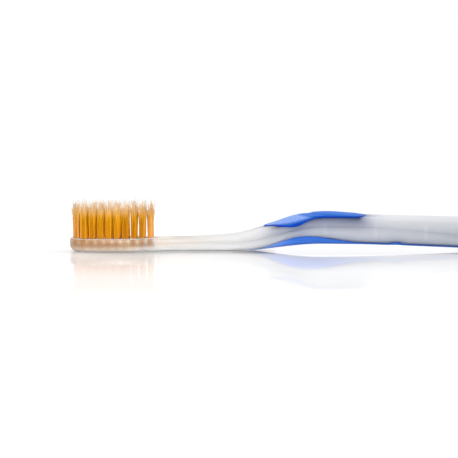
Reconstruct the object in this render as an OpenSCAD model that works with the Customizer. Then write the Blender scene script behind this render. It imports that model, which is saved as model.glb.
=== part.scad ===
// Manual toothbrush, lying on its back with the bristles up.
// X runs along the brush from the tip of the head to the tail, Y across it and Z up.
// The origin is under the middle of the brush, on the surface that it lies on.
// Heights are measured from that surface, and places from the tip of the head.

/* [Head] */
// Distance from the tip of the head to the middle of the first column of tufts
tip_margin = 1.85; // [1.45:0.05:2]
// Distance from the last column of tufts to the end of the head
neck_margin = 1.6; // [1:0.1:4]
// Distance from the middle of an outer tuft to the side of the head
side_margin = 2.1; // [1.8:0.1:3]
// Thickness of the head under the tufts
head_t = 3.65; // [3.4:0.05:5]
// Length of the rounded tip of the head, seen from above
nose_len = 5.5; // [4.6:0.1:7]
// Width of the head beside the last column of tufts
head_end_w = 7; // [6.4:0.1:9]
// Radius of the edge round the head's face
face_edge_r = 0.4; // [0.2:0.05:0.7]
// Radius of the edge round the head's back
back_edge_r = 1.2; // [0.6:0.1:1.5]
// Length of the rounding under the tip
chin_len = 2.6; // [1.6:0.1:4]
// Height that the rounding under the tip takes away
chin_h = 1.7; // [0.8:0.1:2.2]

/* [Tufts] */
// Distance between columns of tufts, along the brush
column_pitch = 2.3; // [2.2:0.02:2.6]
// Distance between rows of tufts, across the brush
row_pitch = 2.4; // [2.1:0.05:2.8]
// Diameter of a tuft's hole
tuft_d = 1.7; // [1.5:0.05:1.8]
// Depth of a tuft's hole
hole_depth = 2.75; // [2.6:0.05:3]
// Length of the fine tapered filaments above the head
filament_len = 10.6; // [9.5:0.1:12]
// Length of the blunt filaments, and of the others up to where they start to taper
body_len = 8; // [6:0.1:9]
// Width across one strand, from a side to the corner facing it
strand_w = 0.27; // [0.2:0.01:0.29]
// Width of a tuft at its top, as a share of that at its root
tuft_top_share = 1.22; // [1:0.01:1.3]
// Strands in the inner ring of a tuft
inner_strands = 4; // [3:1:4]
// Strands in the outer ring of a tuft
outer_strands = 10; // [7:1:10]

/* [Anchors] */
// Length of the metal plate that holds a tuft, along the brush
anchor_len = 2.05; // [1.9:0.01:2.1]
// Height of an anchor plate
anchor_h = 1.25; // [1:0.05:1.35]
// Thickness of an anchor plate
anchor_t = 0.25; // [0.15:0.01:0.35]
// Depth of an anchor's top edge below the face of the head
anchor_depth = 1.15; // [0.8:0.05:1.2]

/* [Neck] */
// Length of the neck, from the head to the front tip of the thumb pad
neck_len = 30; // [24:0.5:40]
// Width of the neck where it is thinnest
neck_w = 4.8; // [4:0.1:6]
// Height of the neck's top where it is lowest
neck_h = 4.05; // [3.6:0.05:5]
// Width of the neck where it starts to rise
throat_w = 6; // [5:0.1:7.5]
// Height of the neck's top where it starts to rise
throat_h = 4.8; // [4.4:0.1:5.6]

/* [Thumb pad] */
// Length of the thumb pad
pad_len = 28.4; // [24:0.2:34]
// Height of the handle at the pad's front tip
pad_front_h = 6.8; // [6:0.1:7.2]
// Width of the handle at the pad's front tip
pad_front_w = 8.4; // [7:0.1:10]
// Height of the crest behind the front leaf of the pad
crest_h = 9.95; // [9.75:0.05:10.4]
// Height of the pad where it is highest
pad_top_h = 10.7; // [10.5:0.05:11.6]
// Height of the edge of the pad's front leaf
leaf_edge_h = 7; // [6.6:0.1:7.3]
// Height of the edge of the pad's rear part
pad_edge_h = 9.6; // [9:0.1:9.7]
// Length of the round end at the front of the pad
leaf_len = 4; // [3:0.5:8]
// Length of the round end at the back of the pad
pad_arc = 2.6; // [1.4:0.1:3.4]
// Depth that the pad sinks into the handle
pad_depth = 0.9; // [0.5:0.05:1.2]
// Height of the pad above the handle round it
pad_proud = 0.25; // [0.1:0.05:0.4]
// Extra height of the pad's lip at the end of the front leaf
lip_h = 0.45; // [0.1:0.05:0.6]
// Depth of the groove behind the front leaf
groove_depth = 0.35; // [0.1:0.05:0.45]
// Width of the groove behind the front leaf
groove_w = 3; // [2:0.1:4]

/* [Handle] */
// Length of the handle behind the thumb pad
rear_len = 105.6; // [80:0.2:125]
// Width of the handle at the thumb pad
grip_w = 12.6; // [11:0.1:14]
// Width of the handle at its middle
waist_w = 11.2; // [10:0.1:13]
// Width of the handle near its tail
tail_w = 10.8; // [9:0.1:13]
// Height of the handle at the rear tip of the pad
pad_rear_h = 10; // [9.5:0.1:10.5]
// Height of the handle a little behind the pad
back_h = 9.7; // [9:0.1:10.4]
// Height of the handle near its tail
tail_h = 7.4; // [6.4:0.1:8.6]
// Length of the rounding of the tail
tail_round = 9; // [6:0.2:12]
// Height of the arch under the handle
arch_h = 2.1; // [1.6:0.1:2.8]
// Height of the crease on the side of the neck
neck_crease_h = 2.3; // [2:0.1:2.6]
// Height of the crease below the thumb pad
pad_crease_h = 7; // [6:0.1:7.4]
// Height of the crease near the tail
tail_crease_h = 3.3; // [2.8:0.1:3.8]
// Depth of the crease
crease_depth = 0.75; // [0.2:0.05:0.9]
// Diameter of the locating pin holes in the handle's back
pin_d = 1; // [0.6:0.1:1.4]
// Height of the ends of the locating pin holes
pin_top_h = 5.6; // [4.5:0.1:6]
// Distance between locating pin holes
pin_pitch = 13.9; // [12:0.1:16]

/* [Back grip] */
// Distance from the back grip's front tip to the thumb pad's front tip
grip_lead = 4; // [2:0.2:6]
// Distance from the back grip's rear tip to the tail
grip_stop = 12; // [11:0.2:16]
// Height of the grip's edge above its middle, at its peak under the thumb pad
edge_peak = 2.6; // [1.6:0.05:2.7]
// Height of the grip's edge above its middle, along the rear strips
edge_low = 0.65; // [0.45:0.05:0.9]
// Height of the small wave in the grip's edge
wave_h = 0.5; // [0.1:0.05:0.6]
// Length of the small wave in the grip's edge
wave_len = 6; // [4:0.5:8]
// Distance from the thumb pad's rear tip to the bare window in the grip
window_lead = 4; // [2:0.2:6]
// Distance from the bare window to the grip's rear tip
window_stop = 13; // [9:0.5:20]
// Depth that the grip sinks into the handle
grip_depth = 0.8; // [0.4:0.05:1]
// Height of the grip above the handle round it
grip_proud = 0.15; // [0.05:0.05:0.3]

/* [Hidden] */
// Tufts in each column, from the tip to the neck
rows_in = [2, 4, 4, 4, 4, 4, 4, 3, 3, 2];
columns = len(rows_in);
full_columns = 7;
tuft_ids = [for (c = [0:columns - 1], r = [0:rows_in[c] - 1]) [c, r]];

// Places along the brush, from the tip of the head
head_w = (max(rows_in) - 1) * row_pitch + 2 * side_margin;
shoulder_x = tuft_x(full_columns - 1);
last_tuft_x = tuft_x(columns - 1);
head_end = last_tuft_x + neck_margin;
pad_front = head_end + neck_len;
pad_rear = pad_front + pad_len;
brush_len = pad_rear + rear_len;
neck_x = head_end + 0.3 * neck_len;
throat_x = head_end + 0.7 * neck_len;
leaf_edge_x = pad_front + 0.1 * pad_len;
leaf_end_x = pad_front + 0.27 * pad_len;
crest_x = pad_front + 0.35 * pad_len;
grip_peak_x = pad_front + 0.36 * pad_len;
lip_x = pad_front + 0.4 * pad_len;
rear_edge_x = pad_front + 0.5 * pad_len;
arch_x = pad_front + 0.55 * pad_len;
first_pin_x = pad_front + 0.59 * pad_len;
top_x = pad_front + 0.62 * pad_len;
pad_square = pad_rear - pad_arc;
back_x = pad_rear + 0.16 * rear_len;
waist_x = pad_rear + 0.38 * rear_len;
landing_x = pad_rear + 0.55 * rear_len;
tail_x = brush_len - tail_round;
grip_front = pad_front - grip_lead;
grip_rear = brush_len - grip_stop;
window_front = pad_rear + window_lead;
window_rear = grip_rear - window_stop;
wave_x = window_front + 0.7 * wave_len;

// Run of the slanted wall at each end of a pocket
wall_run = 0.3;
// Length over which a pocket deepens from its tip, and the share of its depth there
deepening = 4;
tip_depth_share = 0.45;
// Smallest shares of a section that a pad's or a window's tip takes
pad_tip_share = 0.05;
grip_tip_share = 0.12;
window_tip_share = 0.15;
// Shares of the strips and the window across the back
window_share = 0.62;
plain_window_share = 0.6;
wall_share = 0.12;
// How square a section's round corners are, where 1 is an ellipse
fullness_share = 0.88;
// Share of the height from the back to the crease where the lower side is widest
low_share = 0.6;
// Share of a quarter of the head's section that its flat face or back takes
flat_share = 0.6;
// Positions round half a section: 0 at the middle of the top, 1 where the upper side is widest,
// 2 where the lower side is widest and 3 at the middle of the back
back_stop = 3;
shoulder_stop = 1.12;
crease_stop = 1.5;
plain_pad_stop = 0.5;
plain_grip_stop = back_stop - flat_share;

// Intervals between the lines of a half section, from the middle of its top
top_steps = 4;
shoulder_steps = 4;
side_steps = 3;
low_steps = 4;
strip_steps = 2;
window_steps = 2;
pad_line = top_steps;
crease_line = top_steps + 1 + shoulder_steps + side_steps;
grip_line = crease_line + low_steps + 1;
strip_line = grip_line + strip_steps;
half_lines = strip_line + 1 + window_steps;
lines = 2 * half_lines;

// Stations along the brush where sections are taken
stations = concat(
    [for (i = [1:7]) nose_len * (1 - cos(90 * i / 8))],
    steps(nose_len, shoulder_x, 2),
    steps(shoulder_x, head_end, 5),
    steps(head_end, grip_front, 8),
    steps(grip_front, grip_front + wall_run, 1),
    steps(grip_front + wall_run, pad_front, 3),
    steps(pad_front, pad_front + wall_run, 1),
    steps(pad_front + wall_run, pad_front + leaf_len, 5),
    steps(pad_front + leaf_len, crest_x, 6),
    steps(crest_x, top_x, 8),
    steps(top_x, pad_square, 5),
    [for (i = [0:4]) pad_square + pad_arc * sin(90 * i / 5)],
    steps(pad_rear, window_front, 3),
    steps(window_front, window_front + wave_len * 1.5, 9),
    steps(window_front + wave_len * 1.5, window_rear - wave_len, 10),
    steps(window_rear - wave_len, window_rear, 4),
    steps(window_rear, grip_rear - wall_run, 4),
    steps(grip_rear - wall_run, grip_rear, 1),
    steps(grip_rear, tail_x, 1),
    [for (i = [0:8]) tail_x + tail_round * sin(80 * i / 8)]
);
last_station = len(stations) - 1;

// Evenly spaced places from one to the next, without the last
function steps(from, to, count) = [for (i = [0:count - 1]) from + (to - from) * i / count];

// Value at a place of a smooth curve through knots of place and value, without overshoot
function curve(knots, x) =
    let (
        i = span_at(knots, x),
        run = knots[i + 1][0] - knots[i][0],
        t = min(max((x - knots[i][0]) / run, 0), 1),
        rest = 1 - t
    )
    knots[i][1] * rest * rest * (1 + 2 * t) + knots[i + 1][1] * t * t * (3 - 2 * t)
    + run * t * rest * (slope(knots, i) * rest - slope(knots, i + 1) * t);
function span_at(knots, x, i = 0) =
    i >= len(knots) - 2 || x < knots[i + 1][0] ? i : span_at(knots, x, i + 1);
function secant(knots, i) = (knots[i + 1][1] - knots[i][1]) / (knots[i + 1][0] - knots[i][0]);
function slope(knots, i) =
    i == 0 || i == len(knots) - 1 ? 0
    : let (before = secant(knots, i - 1), after = secant(knots, i))
    before * after <= 0 ? 0 : 2 * before * after / (before + after);

// A smooth bump of height 1 and the given width round a place
function bump(x, middle, width) =
    abs(x - middle) > width / 2 ? 0 : (1 + cos(360 * (x - middle) / width)) / 2;

// A quarter of a circle's rise from 0 to 1 over a run
function round_in(x, run) = x >= run ? 1 : sqrt(max(0, 1 - pow(1 - x / run, 2)));

// How much of the full section is left in the round ends of the brush
function tail_share_at(x) = x <= tail_x ? 1 : sqrt(max(0, 1 - pow((x - tail_x) / tail_round, 2)));

// Height of the top of the core along the middle of the brush
top_knots = [
    [0, head_t], [shoulder_x, head_t], [neck_x, neck_h], [throat_x, throat_h],
    [pad_front, pad_front_h], [crest_x, crest_h], [top_x, pad_top_h], [pad_rear, pad_rear_h],
    [back_x, back_h], [tail_x, tail_h], [brush_len, tail_h]
];
// Height of the back along the middle of the brush
back_knots = [
    [0, 0], [throat_x, 0], [arch_x, arch_h], [landing_x, grip_proud], [brush_len, grip_proud]
];
// Height at which the upper side is widest, which is the thumb pad's edge
side_knots = [
    [0, head_t - face_edge_r], [shoulder_x, head_t - face_edge_r], [neck_x, 0.64 * neck_h],
    [throat_x, 0.7 * throat_h], [pad_front, 0.97 * pad_front_h], [leaf_edge_x, leaf_edge_h],
    [leaf_end_x, leaf_edge_h], [rear_edge_x, 0.98 * pad_edge_h], [top_x, pad_edge_h],
    [pad_square, pad_edge_h], [back_x, 0.8 * back_h], [tail_x, 0.7 * tail_h],
    [brush_len, 0.7 * tail_h]
];
// Height of the crease along the side
crease_knots = [
    [0, 0.5 * head_t], [head_end, 0.5 * head_t], [neck_x, neck_crease_h],
    [throat_x, neck_crease_h], [arch_x, pad_crease_h], [pad_square, pad_crease_h],
    [waist_x, 1.1 * tail_crease_h], [tail_x, tail_crease_h], [brush_len, tail_crease_h]
];
crease_depth_knots = [
    [head_end, 0], [throat_x, 0.45 * crease_depth], [pad_front, crease_depth],
    [waist_x, crease_depth], [tail_x, 0.2 * crease_depth], [brush_len, 0]
];
// Half width of the brush
width_knots = [
    [0, head_w / 2], [shoulder_x, head_w / 2], [last_tuft_x, head_end_w / 2],
    [neck_x, neck_w / 2], [throat_x, throat_w / 2], [pad_front, pad_front_w / 2],
    [crest_x, 0.96 * grip_w / 2], [top_x, grip_w / 2], [back_x, 0.98 * grip_w / 2],
    [waist_x, waist_w / 2], [tail_x, tail_w / 2], [brush_len, tail_w / 2]
];
// Change from the head's flat section to the handle's round one, from 0 to 1
round_knots = [[head_end, 0], [neck_x, 0.75], [throat_x, 1]];

function tuft_x(c) = tip_margin + c * column_pitch;
function tuft_y(c, r) = (r - (rows_in[c] - 1) / 2) * row_pitch;
function tuft_name(c, r) = str("tuft_", c + 1, "_", r + 1);
function face_h(x) = curve(top_knots, x);

// Position of the thumb pad's edge round the section
function pad_stop(x) =
    x < pad_front ? curve([[0, flat_share], [head_end, flat_share], [pad_front, pad_tip_share]], x)
    : x < pad_front + leaf_len
    ? max(pad_tip_share, acos(1 - (x - pad_front) / leaf_len) / 90)
    : x < pad_square ? 1
    : x < pad_rear ? max(pad_tip_share, acos((x - pad_square) / pad_arc) / 90)
    : curve([[pad_rear, pad_tip_share], [back_x, plain_pad_stop], [brush_len, plain_pad_stop]], x);

// Position of the back grip's edge round the section
edge_knots = [
    [grip_front, 0], [grip_peak_x, edge_peak], [pad_rear, edge_low],
    [grip_rear - deepening, edge_low], [grip_rear, 0]
];
function grip_rise(x) = curve(edge_knots, x) + wave_h * bump(x, wave_x, wave_len);
function grip_stop_at(x, low_r) =
    x <= grip_front
    ? curve([
        [0, plain_grip_stop], [neck_x, plain_grip_stop], [grip_front, back_stop - grip_tip_share]
    ], x)
    : x >= grip_rear ? curve([[grip_rear, back_stop - grip_tip_share], [brush_len, plain_grip_stop]], x)
    : min(
        back_stop - grip_tip_share,
        2 + asin(pow(max(0, 1 - grip_rise(x) / low_r), 1 / fullness_share)) / 90
    );

// Share of the back inside the grip's edge that is the window's
function window_at(x) =
    x < window_front
    ? curve([[pad_front, plain_window_share], [window_front, window_tip_share]], x)
    : x > window_rear
    ? curve([[window_rear, window_tip_share], [grip_rear, plain_window_share]], x)
    : window_tip_share + (window_share - window_tip_share)
    * round_in(min(x - window_front, window_rear - x), wave_len);

// Positions of all lines round half a section, from the middle of the top to that of the back
function stops(x, low_r) =
    let (
        pad = pad_stop(x),
        grip = grip_stop_at(x, low_r),
        inner = grip + (back_stop - grip) * wall_share,
        strip = back_stop - (back_stop - inner) * window_at(x),
        window = back_stop - (back_stop - strip) * (1 - wall_share)
    )
    concat(
        steps(0, pad * (1 - wall_share), top_steps),
        [pad * (1 - wall_share)],
        steps(pad, shoulder_stop, shoulder_steps),
        steps(shoulder_stop, crease_stop, side_steps),
        steps(crease_stop, grip, low_steps),
        [grip],
        steps(inner, strip, strip_steps),
        [strip],
        steps(window, back_stop, window_steps),
        [back_stop]
    );

// Quarter corner of a section at an angle, as shares of its half width and of its height.
// It is flat up to an edge of the given share of the width on the head, and full on the handle.
function corner(angle, edge_share, roundness) =
    let (
        turn = max(0, (angle / 90 - flat_share) / (1 - flat_share)) * 90,
        flat = min(1, angle / 90 / flat_share) * (1 - edge_share)
    )
    [
        (1 - roundness) * (flat + edge_share * sin(turn))
        + roundness * pow(sin(angle), fullness_share),
        (1 - roundness) * cos(turn) + roundness * pow(max(0, cos(angle)), fullness_share)
    ];

// Half section at a place: points of side and height on the handle's skin, one for each line
function half_section(x) =
    let (
        ends = tail_share_at(x),
        middle = 0.45 * tail_h,
        nose = round_in(x, nose_len),
        w = curve(width_knots, x) * nose * ends,
        top = middle + (curve(top_knots, x) - middle) * ends
            - face_edge_r * (1 - round_in(x, face_edge_r)),
        back = middle + (curve(back_knots, x) - middle) * ends + chin_h * (1 - round_in(x, chin_len)),
        side = min(top - 0.5 * face_edge_r, middle + (curve(side_knots, x) - middle) * ends),
        crease = min(side - 0.5 * face_edge_r, max(back + 0.25 * (side - back),
            middle + (curve(crease_knots, x) - middle) * ends)),
        cut = curve(crease_depth_knots, x) * ends,
        low = back + low_share * (crease - back),
        roundness = curve(round_knots, x),
        face_share = min(0.8, face_edge_r / w),
        back_share = min(0.8, back_edge_r / w)
    )
    [for (u = stops(x, low - back))
        u <= 1
        ? let (c = corner(90 * u, face_share, roundness)) [w * c[0], side + (top - side) * c[1]]
        : u <= crease_stop
        ? let (t = (u - 1) / (crease_stop - 1))
            [w - cut * t * t, side + (crease - side) * t]
        : u <= 2
        ? let (t = (u - crease_stop) / (2 - crease_stop))
            [w - cut * pow(1 - t, 2), crease + (low - crease) * t]
        : let (c = corner(90 * (back_stop - u), back_share, roundness))
            [w * c[0], low + (back - low) * c[1]]
    ];

// Whole section: each line's place, with the outward direction of the skin there
function section(x) =
    let (half = half_section(x))
    [for (j = [0:lines - 1])
        let (
            k = j <= half_lines ? j : lines - j,
            hand = j <= half_lines ? 1 : -1,
            before = k == 0 ? [-half[1][0], half[1][1]] : half[k - 1],
            after = k == half_lines ? [-half[k - 1][0], half[k - 1][1]] : half[k + 1],
            along = after - before,
            size = norm(along)
        )
        [x, hand * half[k][0], half[k][1], -hand * along[1] / size, along[0] / size]
    ];
skin = [for (x = stations) section(x)];

// How far a pocket's floor lies under the skin, and the soft skin above it, at a station and line
function line_of(j) = j <= half_lines ? j : lines - j;
function in_pad(x, k) = k <= pad_line && x > pad_front && x < pad_rear;
function in_grip(x, k) =
    k >= grip_line && x > grip_front && x < grip_rear
    && (k <= strip_line || x <= window_front || x >= window_rear);
function deepened(x, from, to) =
    tip_depth_share + (1 - tip_depth_share) * min(1, (x - from) / deepening, (to - x) / deepening);
function floor_depth(x, k) =
    in_pad(x, k) ? pad_depth * deepened(x, pad_front, pad_rear)
    : in_grip(x, k) ? grip_depth * deepened(x, grip_front, grip_rear)
    : 0;
function soft_height(x, k) =
    in_pad(x, k)
    ? pad_proud * min(1, (pad_rear - x) / pad_arc)
        + lip_h * bump(x, lip_x, pad_len / 2) * pow(k / pad_line, 4)
        - groove_depth * bump(x, groove_x(pow(k / pad_line, 2)), groove_w)
    : in_grip(x, k) ? grip_proud
    : 0;
// The groove behind the leaf sweeps back from the middle to the sides
function groove_x(side_share) =
    crest_x + pad_len * (groove_start_share + groove_sweep_share * side_share);
groove_start_share = 0.07;
groove_sweep_share = 0.22;
function moved(p, by) = [p[0] - brush_len / 2, p[1] + by * p[3], p[2] + by * p[4]];
floors = [for (i = [0:last_station]) [for (j = [0:lines - 1])
    floor_depth(stations[i], line_of(j))]];
floor_points = [for (i = [0:last_station]) for (j = [0:lines - 1])
    moved(skin[i][j], -floors[i][j])];
soft_points = [for (i = [0:last_station]) for (j = [0:lines - 1])
    moved(skin[i][j], soft_height(stations[i], line_of(j)))];

// The two triangles of each cell between stations and lines, as pairs of station and line
function cell(i, j) =
    let (a = [i, j], b = [i, (j + 1) % lines], c = [i + 1, (j + 1) % lines], d = [i + 1, j])
    j < half_lines ? [[a, b, c], [a, c, d]] : [[a, b, d], [b, c, d]];
function number(p) = p[0] * lines + p[1];
cells = [for (i = [0:last_station - 1]) for (j = [0:lines - 1]) each cell(i, j)];

// Triangles of a soft piece: its skin, and its underside on the pocket's floor, where the lines
// of its edge are shared by both
function is_deep(p) = floors[p[0]][p[1]] > 0;
function soft_faces(from_line, to_line) =
    let (
        count = len(soft_points),
        covered = [for (t = cells)
            if ((is_deep(t[0]) || is_deep(t[1]) || is_deep(t[2]))
                && min([for (p = t) line_of(p[1])]) >= from_line
                && max([for (p = t) line_of(p[1])]) <= to_line) t]
    )
    concat(
        [for (t = covered) [for (p = t) number(p)]],
        [for (t = covered) [for (p = [t[2], t[1], t[0]])
            is_deep(p) ? count + number(p) : number(p)]]
    );

module soft_piece(from_line, to_line) {
    polyhedron(
        points = concat(soft_points, floor_points),
        faces = soft_faces(from_line, to_line),
        convexity = 6
    );
}

// The handle and head in one, with its pockets, closed at each end round a middle point
module core_blank() {
    count = len(floor_points);
    polyhedron(
        points = concat(floor_points, [cap_middle(0), cap_middle(last_station)]),
        faces = concat(
            [for (j = [0:lines - 1]) [count, (j + 1) % lines, j]],
            [for (t = cells) [for (p = t) number(p)]],
            [for (j = [0:lines - 1])
                [count + 1, number([last_station, j]), number([last_station, (j + 1) % lines])]]
        ),
        convexity = 6
    );
}
function cap_middle(i) =
    let (top = floor_points[number([i, 0])], back = floor_points[number([i, half_lines])])
    (top + back) / 2;

// Puts what it holds at a tuft's place, with the face of the head at height zero
module at_tuft(id) {
    x = tuft_x(id[0]);
    translate([x - brush_len / 2, tuft_y(id[0], id[1]), face_h(x)]) children();
}

module anchor() {
    translate([0, 0, -anchor_depth - anchor_h / 2])
        cube([anchor_len, anchor_t, anchor_h], center = true);
}

// Overrun of every cut past the face that it starts from
overrun = 0.5;
module handle_core() {
    color([0.87, 0.88, 0.9, 0.8])
    difference() {
        core_blank();
        for (id = tuft_ids) at_tuft(id) {
            translate([0, 0, -hole_depth]) cylinder(d = tuft_d, h = hole_depth + overrun, $fn = 48);
            anchor();
        }
        for (i = [0:2]) translate([first_pin_x + i * pin_pitch - brush_len / 2, 0, -overrun])
            cylinder(d = pin_d, h = pin_top_h + overrun, $fn = 48);
    }
}

module thumb_pad() {
    color([0.28, 0.5, 0.89]) soft_piece(0, pad_line + 1);
}

module back_grip() {
    color([0.16, 0.41, 0.8]) soft_piece(grip_line - 1, half_lines);
}

module tuft_anchors() {
    color([0.6, 0.6, 0.58]) for (id = tuft_ids) at_tuft(id) anchor();
}

// Sides of a strand's section
strand_sides = 3;
// One strand at a distance and angle from the tuft's middle: it leans out to the top of the body,
// and from there narrows to its own end
module strand(distance, angle, top_h, tip_share) {
    corner_r = strand_w / 1.5;
    sunk = anchor_depth / 4;
    // Height, growth of the distance and share of the width at each level
    levels = [
        [-sunk, 1, 1],
        [body_len, tuft_top_share, 1],
        [top_h, 1 + (tuft_top_share - 1) * top_h / body_len, tip_share]
    ];
    polyhedron(
        points = [for (level = levels) for (j = [0:strand_sides - 1])
            let (turn = angle + 360 * j / strand_sides)
            [
                distance * level[1] * cos(angle) + corner_r * level[2] * cos(turn),
                distance * level[1] * sin(angle) + corner_r * level[2] * sin(turn),
                level[0]
            ]],
        faces = concat(
            [[for (j = [0:strand_sides - 1]) j]],
            [[for (j = [3 * strand_sides - 1:-1:2 * strand_sides]) j]],
            [for (low = [0, strand_sides]) for (j = [0:strand_sides - 1])
                let (a = low + j, b = low + (j + 1) % strand_sides)
                each [[b + strand_sides, b, a], [a + strand_sides, b + strand_sides, a]]]
        )
    );
}

// Shares of a strand's width that are left at a fine tip and at a blunt one
fine_share = 0.2;
blunt_share = 0.75;
// Ends of the blunt strands, and of the fine ones, which differ a little
blunt_end = 1.04 * body_len;
function fine_end(i) = filament_len * (1 + 0.03 * sin(73 * i));

// A tuft: the bundle in its hole, folded round its anchor, and the strands above the head
module tuft(c, r) {
    seed = 7 * c + 3 * r;
    outer_r = tuft_d / 2 - strand_w;
    inner_r = 0.42 * outer_r;
    color([0.85, 0.6, 0.2]) at_tuft([c, r]) {
        difference() {
            translate([0, 0, -hole_depth]) cylinder(d = tuft_d, h = hole_depth, $fn = 48);
            anchor();
        }
        for (i = [0:outer_strands - 1])
            strand(
                outer_r, 360 * i / outer_strands + 11 * seed,
                i % 2 == 0 ? fine_end(i + seed) : blunt_end, i % 2 == 0 ? fine_share : blunt_share
            );
        for (i = [0:inner_strands - 1])
            strand(inner_r, 360 * i / inner_strands + 23 * seed, fine_end(i + 2 * seed), fine_share);
    }
}

handle_core();
thumb_pad();
back_grip();
tuft_anchors();
for (id = tuft_ids)
    tuft(id[0], id[1]);
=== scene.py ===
import math
import bmesh
import bpy
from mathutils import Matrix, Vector
from mathutils.bvhtree import BVHTree


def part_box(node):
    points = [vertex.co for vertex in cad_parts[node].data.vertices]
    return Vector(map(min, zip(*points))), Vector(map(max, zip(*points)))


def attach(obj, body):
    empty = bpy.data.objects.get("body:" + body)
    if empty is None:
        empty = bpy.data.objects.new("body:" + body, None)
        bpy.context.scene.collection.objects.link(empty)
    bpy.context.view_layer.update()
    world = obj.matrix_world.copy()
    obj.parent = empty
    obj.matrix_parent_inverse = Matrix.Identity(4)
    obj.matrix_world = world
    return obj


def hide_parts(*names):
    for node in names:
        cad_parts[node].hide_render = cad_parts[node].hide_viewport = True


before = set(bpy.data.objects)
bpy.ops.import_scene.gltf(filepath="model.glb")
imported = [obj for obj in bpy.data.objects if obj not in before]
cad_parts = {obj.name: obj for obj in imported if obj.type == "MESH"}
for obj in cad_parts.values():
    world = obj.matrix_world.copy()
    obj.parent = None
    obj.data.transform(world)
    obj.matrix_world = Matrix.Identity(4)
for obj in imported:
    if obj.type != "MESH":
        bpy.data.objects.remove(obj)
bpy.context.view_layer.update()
mm = 0.001
print("frame loaded,", len(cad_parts), "nodes")


def hexColour(text):  # linear colour of an sRGB hex name
    parts = [int(text[i:i + 2], 16) / 255 for i in (0, 2, 4)]
    return tuple(p / 12.92 if p <= 0.04045 else ((p + 0.055) / 1.055) ** 2.4 for p in parts) + (1.0,)


def grey(value):
    return (value, value, value, 1.0)


def clamp(value, high=1.0):
    return min(max(value, 0.0), high)


# node building

def feed(tree, socket, value):
    if isinstance(value, bpy.types.NodeSocket):
        tree.links.new(value, socket)
    else:
        socket.default_value = value


def addNode(tree, kind, inputs=None, **settings):
    node = tree.nodes.new(kind)
    for key, value in settings.items():
        setattr(node, key, value)
    for key, value in (inputs or {}).items():
        feed(tree, node.inputs[key], value)
    return node


def output(tree, kind, inputs=None, **settings):  # first output of a new node
    return addNode(tree, kind, inputs, **settings).outputs[0]


def calc(tree, operation, a, b=0.0):
    return output(tree, "ShaderNodeMath", {0: a, 1: b}, operation=operation)


def plus(tree, a, b):
    return calc(tree, "ADD", a, b)


def minus(tree, a, b):
    return calc(tree, "SUBTRACT", a, b)


def times(tree, a, b):
    return calc(tree, "MULTIPLY", a, b)


def over(tree, a, b):
    return calc(tree, "DIVIDE", a, b)


def absolute(tree, a):
    return calc(tree, "ABSOLUTE", a)


def vectorCalc(tree, operation, a, b):
    return output(tree, "ShaderNodeVectorMath", {0: a, 1: b}, operation=operation)


def scaled(tree, vector, factor):
    return output(tree, "ShaderNodeVectorMath", {0: vector, "Scale": factor}, operation="SCALE")


def axesOf(tree, vector):
    return addNode(tree, "ShaderNodeSeparateXYZ", {"Vector": vector}).outputs


def combined(tree, **parts):
    return output(tree, "ShaderNodeCombineXYZ", parts)


def mapped(tree, value, fromLow, fromHigh, toLow, toHigh):
    return output(tree, "ShaderNodeMapRange", {
        "Value": value, "From Min": fromLow, "From Max": fromHigh, "To Min": toLow, "To Max": toHigh,
    })


def rising(tree, value, start, stop):
    return mapped(tree, value, start, stop, 0.0, 1.0)


def falling(tree, value, start, stop):
    return mapped(tree, value, start, stop, 1.0, 0.0)


def between(tree, share, first, second):
    return mapped(tree, share, 0.0, 1.0, first, second)


def mixColour(tree, share, a, b):
    node = addNode(tree, "ShaderNodeMix", data_type="RGBA")
    feed(tree, node.inputs[0], share)
    feed(tree, node.inputs[6], a)
    feed(tree, node.inputs[7], b)
    return node.outputs[2]


def stained(tree, colour, mask, look):  # the look's own colour, by its share, where the mask is
    return mixColour(tree, times(tree, mask, look["share"]), colour, hexColour(look["colour"]))


def ramp(tree, value, stops):
    node = addNode(tree, "ShaderNodeValToRGB", {"Fac": value})
    row = node.color_ramp.elements
    while len(row) < len(stops):
        row.new(0.5)
    for element, (place, colour) in zip(row, stops):
        element.position = place
        element.color = hexColour(colour)
    return node.outputs["Color"]


def curveOf(tree, value, stops):
    node = addNode(tree, "ShaderNodeFloatCurve", {"Value": value})
    points = node.mapping.curves[0].points
    while len(points) < len(stops):
        points.new(0.5, 0.5)
    for point, spot in zip(points, stops):
        point.location = spot
    node.mapping.update()
    return node.outputs[0]


def noise(tree, vector, size, detail):
    return output(tree, "ShaderNodeTexNoise", {
        "Vector": vector, "Scale": over(tree, 1.0, size), "Detail": detail,
    })


def newTree(name, kind, inputs, outputs):
    tree = bpy.data.node_groups.new(name, kind)
    for label, socketType, value in inputs:
        socket = tree.interface.new_socket(label, in_out="INPUT", socket_type="NodeSocket" + socketType)
        if value is not None:
            socket.default_value = value
    for label, socketType in outputs:
        tree.interface.new_socket(label, in_out="OUTPUT", socket_type="NodeSocket" + socketType)
    return tree, tree.nodes.new("NodeGroupInput").outputs, tree.nodes.new("NodeGroupOutput").inputs


# shared finishes

finish = {
    "grain": {"detail": 2.0, "fineShare": 0.6, "broadScale": 120.0},
    "tint": {"stretch": (0.4, 1.0, 1.0), "detail": 3.0, "edges": (0.35, 0.65)},
    "rub": {"stretch": (0.03, 1.0, 1.0), "detail": 1.0, "edges": (0.62, 0.72)},
}


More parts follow.
